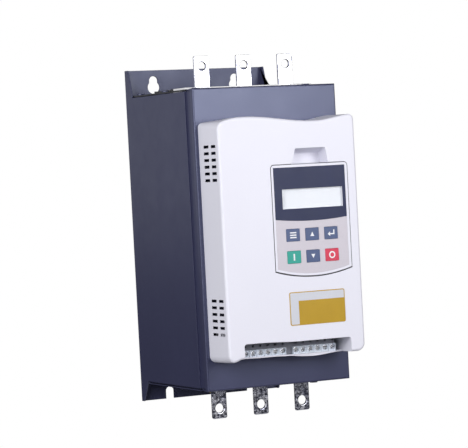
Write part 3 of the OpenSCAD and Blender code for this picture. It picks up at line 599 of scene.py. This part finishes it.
def build_cover():
    fr, w = 2.8, 73.3
    rings = [(cover_outline(73.5, top_rear, low_rear, 5.5, 8.0, 3.5), Y_BACK),
             (cover_outline(73.4, top_mid, low_mid, 5.5, 8.0, 4.5), -181.4),
             (cover_outline(w, top_front, low_front, 5.5, 8.0), Y_FRONT + fr)]
    for k in range(1, 9):
        a = math.radians(90.0 * k / 8)
        ins = fr * (1 - math.cos(a))
        rings.append((cover_outline(w - ins, shifted(top_front, -ins), shifted(low_front, ins), 5.5 - 0.9 * ins,
                                    8.0 - 0.9 * ins), Y_FRONT + fr * (1 - math.sin(a))))
    body = raw_object("cover_moulding", loft(rings))
    inner = raw_object("inner", loft([
        (cover_outline(71.5, shifted(top_rear, -2.0), shifted(low_rear, 1.2), 4.0, 6.4, 2.4), -157.0),
        (cover_outline(71.4, shifted(top_mid, -2.0), shifted(low_mid, 1.2), 3.8, 6.2, 3.0), -181.4),
        (cover_outline(71.2, shifted(top_front, -2.0), shifted(low_front, 1.2), 3.6, 6.0), -197.8),
        (cover_outline(70.0, shifted(top_front, -3.2), shifted(low_front, 2.4), 2.6, 5.0), -199.0)]))
    boolean(body, inner, "DIFFERENCE")
    # walls of the keypad pocket, recess and notch
    boolean(body, prism_object("tub", [keypad_outline(2.2, 0.5)], -200.0, -180.0), "UNION")
    rec = recess_body(1.5, "recess_wall")
    keep = bmesh.new()
    add_box(keep, -10, 60, -200.0, -180.0, 68.0, 95.0)
    boolean(rec, raw_object("keep", keep), "INTERSECT")
    boolean(body, rec, "UNION")
    for x0, x1, y0, y1, z0 in ((NOTCH_L - 1.5, NOTCH_L, -200.0, -188.0, -112.9),
                               (NOTCH_L - 1.5, NOTCH_L, -190.0, -160.0, -113.8),
                               (NOTCH_R, NOTCH_R + 1.5, -200.0, -160.0, -114.3)):
        bm = bmesh.new()
        add_box(bm, x0, x1, y0, y1, z0, notch_top(x0) + 1.4)
        boolean(body, raw_object("wall", bm), "UNION")
    xs = [NOTCH_L - 1.4 + (NOTCH_R - NOTCH_L + 2.8) * i / 48 for i in range(49)]
    strip = [(x, notch_top(x) - 0.3) for x in xs] + [(x, notch_top(x) + 1.5) for x in reversed(xs)]
    boolean(body, prism_object("notch_wall", [strip], -200.0, -181.4), "UNION")
    # lip in front of the terminals, level at the top, open between the two blocks
    for xa, xb, zt in ((NOTCH_L - 1.0, -2.5, -113.9), (5.3, NOTCH_R + 1.0, -114.5)):
        xs = [xa + (xb - xa) * i / 24 for i in range(25)]
        lip = [(x, low_mid(x) + 0.05) for x in xs] + [(xb, zt), (xa, zt)]
        boolean(body, prism_object("lip", [lip], -181.5, -180.6), "UNION")
    boolean(body, prism_object("bosses", [disc(x, z, 4.5) for x, z in BOSSES], -200.0, Y_BACK), "UNION")
    # openings
    for xa, xb, z in ((-49.2, -2.0, -113.95), (4.8, 52.0, -114.55)):
        bm = bmesh.new()
        add_box(bm, xa, xb, -180.55, -157.0, z, -112.0)
        boolean(body, raw_object("block_room", bm), "DIFFERENCE")
    boolean(body, prism_object("pocket", [keypad_outline(0.75, 0.5)], -204.0, -182.0), "DIFFERENCE")
    boolean(body, recess_body(0.0, "recess_cut"), "DIFFERENCE")
    bm = bmesh.new()
    add_box(bm, KX - 14.0, KX + 14.0, -184.0, -178.0, 16.5, 27.5)
    boolean(body, raw_object("plug_hole", bm), "DIFFERENCE")
    r = 2.6
    notch = [(NOTCH_L, -130.0), (NOTCH_R, -130.0)]
    for k in range(7):
        a = math.radians(15.0 * k)
        notch.append((NOTCH_R - r + r * math.cos(a), notch_top(NOTCH_R) - r + r * math.sin(a)))
    for i in range(1, 48):
        x = NOTCH_R - r + (NOTCH_L - NOTCH_R + 2 * r) * i / 48
        notch.append((x, notch_top(x)))
    for k in range(7):
        a = math.radians(90.0 + 15.0 * k)
        notch.append((NOTCH_L + r + r * math.cos(a), notch_top(NOTCH_L) - r + r * math.sin(a)))
    boolean(body, prism_object("notch", [notch], -204.0, -181.4), "DIFFERENCE")
    bm = bmesh.new()
    for s in (-1, 1):
        for y, h in ((-174.5, 5.3), (-189.8, 4.7)):
            for zt in (88.4, -57.7):
                for i in range(6):
                    add_vent(bm, s, y, h, zt - 6.37 * i)
    bmesh.ops.recalc_face_normals(bm, faces=bm.faces[:])
    boolean(body, raw_object("vents", bm), "DIFFERENCE")
    boolean(body, prism_object("pilots", [disc(x, z, 2.05, 16) for x, z in BOSSES], -171.0, -158.0), "DIFFERENCE")
    bm = bmesh.new()
    bm.from_mesh(body.data)
    bmesh.ops.remove_doubles(bm, verts=bm.verts[:], dist=2e-6)
    bmesh.ops.dissolve_limit(bm, angle_limit=math.radians(0.15), use_dissolve_boundaries=False,
                             verts=bm.verts[:], edges=bm.edges[:])
    bmesh.ops.recalc_face_normals(bm, faces=bm.faces[:])
    on_front = lambda e: both(e, lambda c: near(c.y, Y_FRONT * MM, 2e-5))
    rim = sharp_edges(bm, 45, on_front)
    low = [e for e in rim if max(v.co.z for v in e.verts) < -0.09]
    rest = [e for e in rim if e not in set(low)]
    bevel(bm, rest, 0.2 * MM, 3)
    low = sharp_edges(bm, 45, lambda e: on_front(e) and max(v.co.z for v in e.verts) < -0.09)
    bevel(bm, low, 0.5 * MM, 3)
    bm.to_mesh(body.data)
    bm.free()
    return dress(body, MAT["white_abs"], "housing", ["cover"], 32.0)


build_cover()


# ---------------------------------------------------------------- folded steel housing
def panel_bend(e):
    return both(e, lambda c: near(c.y, -0.159)) and (
        both(e, lambda c: near(abs(c.x), 0.0774)) or both(e, lambda c: near(abs(c.z), 0.145)))


def rear_bend(e):
    return both(e, lambda c: near(c.y, 0.0) and near(abs(c.x), 0.077))


soften("front_panel", 0.25 * MM, 2, first=[(panel_bend, 1.9 * MM, 6)])
soften("chassis", 0.3 * MM, 2, first=[(rear_bend, 0.5 * MM, 3)])
soften("bottom_plate", 0.25 * MM, 2)
soften("top_grille", 0.2 * MM, 2)
for n in ("m4_screws", "m6_screws", "heat_sink_screws", "earth_screw"):
    soften(n, 0.2 * MM, 2)
for i in (1, 2, 3):
    soften("input_busbar_%d" % i, 0.6 * MM, 3)
    soften("output_busbar_%d" % i, 1.1 * MM, 5)
for n in ("upper_busbar_support", "lower_busbar_support"):
    soften(n, 0.4 * MM, 2)

# ---------------------------------------------------------------- control terminals
for n, drop in (("terminal_block_left", 0.65), ("terminal_block_right", 1.25)):
    for v in soften(n, 0.12 * MM, 2).data.vertices:
        if v.co.z < -0.11303:
            v.co.z -= drop * MM
# the headers' dark grey (header_grey) is partly painted shade from the notch roof above the blocks
soften("terminal_headers", 0.15 * MM, 2)
SCREWS = [(xc + 8.0 * (i - 2.5)) * MM for xc in (-25.6, 28.4) for i in range(6)]


def screw_crown(e):
    """Outer edge of a screw head."""
    return both(e, lambda c: near(c.y, -0.179) and min(abs(math.hypot(c.x - x, c.z + 0.1102) - 0.0026) for x in SCREWS) < 6e-5)


soften("terminal_screws", 0.0, 2, first=[(screw_crown, 0.7 * MM, 4)], mat=MAT["terminal_screw"])


# ---------------------------------------------------------------- keypad
def bezel_rim(e):
    def on_rim(c):
        if not near(c.y, -0.2014):
            return False
        x, z = c.x / MM, c.z / MM
        far = math.hypot(x - KX, z - (KZ0 + ARC))
        return abs(x - KX) > KW / 2 - 0.05 or z > KZ1 - 3.05 and (
            abs(x - KX) > KW / 2 - 3.05 or z > KZ1 - 0.05) or (far > ARC - 0.05 and z < 0)
    return both(e, on_rim)


soften("keypad_bezel", 0.0, 2, first=[(bezel_rim, 0.25 * MM, 3)])
soften("keypad_back", 0.25 * MM, 2)


def build_gap_shade():
    """Black strip in the gap round the keypad: painted shade for the deep shadow in the gap; left out over the finger
    recess.
    """
    a, b = keypad_outline(0.14), keypad_outline(0.75, 0.5)
    body = prism_object("keypad_gap_shade", [b], -200.75, -199.0)
    boolean(body, prism_object("inside", [a], -202.0, -198.0), "DIFFERENCE")
    bm = bmesh.new()
    add_box(bm, 2.6, 43.5, -203.0, -197.0, 66.0, 70.0)
    boolean(body, raw_object("gap", bm), "DIFFERENCE")
    dress(body, MAT["black_plastic"], "housing", weighted=False)


build_gap_shade()
for n in ("display_overlay", "key_overlay"):
    soften(n, 0.06 * MM, 1)
KEYS = {"menu": (0.45, 0.5), "up": (20.95, 0.5), "enter": (41.45, 0.5),
        "run": (0.45, -20.5), "down": (20.95, -20.5), "stop": (41.45, -20.5)}
for n in KEYS:
    soften("key_" + n, 0.15 * MM, 2)
Y_KEY = -201.7


def legend(name, outlines):
    x, z = KEYS[name]
    bm = bmesh.new()
    for pts in outlines:
        add_prism(bm, [(x + a, z + b) for a, b in pts], Y_KEY - 0.05, Y_KEY + 0.12)
    bmesh.ops.recalc_face_normals(bm, faces=bm.faces[:])
    return finish_piece(bm, "legend_" + name, MAT["legend_white"], name + "_key", weighted=False)


def bar(x0, x1, z0, z1):
    return [(x0, z0), (x1, z0), (x1, z1), (x0, z1)]


def ring_parts(r0, r1, n=28):
    """A ring as wedge prisms that share no volume."""
    out = []
    for k in range(n):
        a, b = 2 * math.pi * k / n, 2 * math.pi * (k + 1) / n
        out.append([(r0 * math.cos(a), r0 * math.sin(a)), (r1 * math.cos(a), r1 * math.sin(a)),
                    (r1 * math.cos(b), r1 * math.sin(b)), (r0 * math.cos(b), r0 * math.sin(b))])
    return out


legend("up", [[(-2.1, -1.9), (2.1, -1.9), (0.0, 2.1)]])
legend("down", [[(-2.1, 1.9), (0.0, -2.1), (2.1, 1.9)]])
legend("menu", [bar(-3.4, 3.4, 1.7, 2.9), bar(-3.4, 3.4, -0.6, 0.6), bar(-3.4, 3.4, -2.9, -1.7)])
legend("enter", [[(-3.8, -0.9), (-1.2, -3.1), (-1.2, -1.5), (3.6, -1.5), (3.6, 3.0), (2.4, 3.0), (2.4, -0.3),
                  (-1.2, -0.3), (-1.2, 1.3)]])
legend("run", [rounded(-0.75, 0.75, -3.3, 3.3, 0.5, 3)])


def ring_legend(name, r0, r1, n=40):
    x, z = KEYS[name]
    bm = bmesh.new()
    loops = []
    for r, y in ((r0, Y_KEY - 0.05), (r1, Y_KEY - 0.05), (r1, Y_KEY + 0.12), (r0, Y_KEY + 0.12)):
        loops.append([bm.verts.new(((x + r * math.cos(2 * math.pi * k / n)) * MM, y * MM,
                                    (z + r * math.sin(2 * math.pi * k / n)) * MM)) for k in range(n)])
    for a, b in zip(loops, loops[1:] + loops[:1]):
        for i in range(n):
            j = (i + 1) % n
            bm.faces.new((a[i], a[j], b[j], b[i]))
    bmesh.ops.recalc_face_normals(bm, faces=bm.faces[:])
    return finish_piece(bm, "legend_" + name, MAT["legend_white"], name + "_key", weighted=False)


ring_legend("stop", 2.1, 3.4)


# ---------------------------------------------------------------- plain label
def build_label():
    bm = bmesh.new()
    add_prism(bm, rounded(-6.9, 52.9, -85.5, -53.7, 1.8), -201.3, -201.0)
    bmesh.ops.recalc_face_normals(bm, faces=bm.faces[:])
    bevel(bm, sharp_edges(bm, 60, lambda e: both(e, lambda c: near(c.y, -0.2013))), 0.08 * MM, 1)
    finish_piece(bm, "label_gold", MAT["label_film"], "housing", ["blank_label"])
    x0, x1, z0, z1, r = -6.0, 52.0, -84.6, -54.6, 1.0
    pts = []
    for k in range(7):
        a = math.radians(90 * k / 6)
        pts.append((x1 - r + r * math.cos(a), z1 - r + r * math.sin(a)))
    for k in range(7):
        a = math.radians(90 + 90 * k / 6)
        pts.append((x0 + r + r * math.cos(a), z1 - r + r * math.sin(a)))
    for k in range(7):
        a = math.radians(180 + 90 * k / 6)
        pts.append((x0 + r + r * math.cos(a), z0 + r + r * math.sin(a)))
    pts += [(2.7, z0), (2.7, -62.2), (x1, -62.2)]
    bm = bmesh.new()
    add_prism(bm, pts, -201.35, -201.2)
    bmesh.ops.recalc_face_normals(bm, faces=bm.faces[:])
    finish_piece(bm, "label_blank_field", MAT["label_white"], "housing", weighted=False)


build_label()

# ---------------------------------------------------------------- what is left keeps its CAD mesh
for n, ob in NODES.items():
    ob.data.materials.clear()
    ob.data.materials.append(MAT[SLOT_OF[n]])

# ---------------------------------------------------------------- studio
scene.view_settings.view_transform = "Standard"
scene.view_settings.look = "None"


def floor():
    bm = bmesh.new()
    bmesh.ops.create_circle(bm, cap_ends=True, segments=64, radius=0.8)
    ob = raw_object("studio_floor", bm)
    ob.location = (0.0, -0.1, -0.55)
    m = bpy.data.materials.new("studio_floor")
    m.use_nodes = True
    nt = m.node_tree
    nt.nodes.clear()
    out = nt.nodes.new("ShaderNodeOutputMaterial")
    tc = nt.nodes.new("ShaderNodeTexCoord")
    ln = nt.nodes.new("ShaderNodeVectorMath")
    ln.operation = "LENGTH"
    nt.links.new(tc.outputs["Object"], ln.inputs[0])
    fade = spread(nt, ln.outputs["Value"], 0.0, 1.0, 0.30, 0.74)
    dif = nt.nodes.new("ShaderNodeBsdfDiffuse")
    dif.inputs["Color"].default_value = (0.74, 0.74, 0.75, 1.0)
    clear = nt.nodes.new("ShaderNodeBsdfTransparent")
    mix = nt.nodes.new("ShaderNodeMixShader")
    nt.links.new(fade, mix.inputs[0])
    nt.links.new(dif.outputs[0], mix.inputs[1])
    nt.links.new(clear.outputs[0], mix.inputs[2])
    nt.links.new(mix.outputs[0], out.inputs["Surface"])
    ob.data.materials.append(m)


floor()


def world():
    w = bpy.data.worlds.new("studio")
    scene.world = w
    w.use_nodes = True
    nt = w.node_tree
    nt.nodes.clear()
    out = nt.nodes.new("ShaderNodeOutputWorld")
    lp = nt.nodes.new("ShaderNodeLightPath")
    # dark room round the lamps, palest at the horizon
    tc = nt.nodes.new("ShaderNodeTexCoord")
    xyz = nt.nodes.new("ShaderNodeSeparateXYZ")
    nt.links.new(tc.outputs["Generated"], xyz.inputs[0])
    soft = nt.nodes.new("ShaderNodeBackground")
    nt.links.new(ramp(nt, spread(nt, xyz.outputs["Z"], 0.0, 1.0, -0.35, 0.35),
                      [(0.0, (0.02, 0.02, 0.022)), (0.5, (0.08, 0.08, 0.09)), (1.0, (0.06, 0.06, 0.065))]),
                 soft.inputs["Color"])
    soft.inputs["Strength"].default_value = 1.0
    white = nt.nodes.new("ShaderNodeBackground")
    white.inputs["Color"].default_value = (1.0, 1.0, 1.0, 1.0)
    white.inputs["Strength"].default_value = 1.0
    mix = nt.nodes.new("ShaderNodeMixShader")
    nt.links.new(lp.outputs["Is Camera Ray"], mix.inputs[0])
    nt.links.new(soft.outputs[0], mix.inputs[1])
    nt.links.new(white.outputs[0], mix.inputs[2])
    nt.links.new(mix.outputs[0], out.inputs["Surface"])


world()


def softbox(name, at, target, size, power, color=(1.0, 1.0, 1.0)):
    li = bpy.data.lights.new(name, "AREA")
    li.shape = "RECTANGLE"
    li.size, li.size_y = size
    li.energy = power
    li.color = color
    ob = bpy.data.objects.new(name, li)
    scene.collection.objects.link(ob)
    ob.location = at
    d = Vector(target) - Vector(at)
    ob.rotation_euler = d.to_track_quat("-Z", "Y").to_euler()
    return ob


softbox("key", (0.40, -1.20, 0.36), (0.0, -0.16, 0.06), (0.50, 0.60), 7.2, (0.98, 0.98, 1.0))
softbox("low", (0.45, -1.20, -0.04), (0.0, -0.16, -0.1), (0.6, 0.22), 0.42, (0.98, 0.98, 1.0))
softbox("fill", (-1.25, -1.15, 0.55), (0.0, -0.12, 0.0), (0.8, 0.8), 16.5, (0.98, 0.98, 1.0))
softbox("front", (-0.05, -1.50, 0.05), (0.0, -0.16, -0.02), (0.5, 0.3), 2.0, (0.98, 0.98, 1.0))
softbox("side", (-1.40, -0.35, 0.30), (0.0, -0.12, 0.0), (1.0, 1.0), 5.9, (0.98, 0.98, 1.0))
softbox("rim", (-0.46, 0.62, 0.22), (-0.077, -0.08, 0.06), (0.6, 0.5), 0.47, (0.92, 0.94, 1.0))
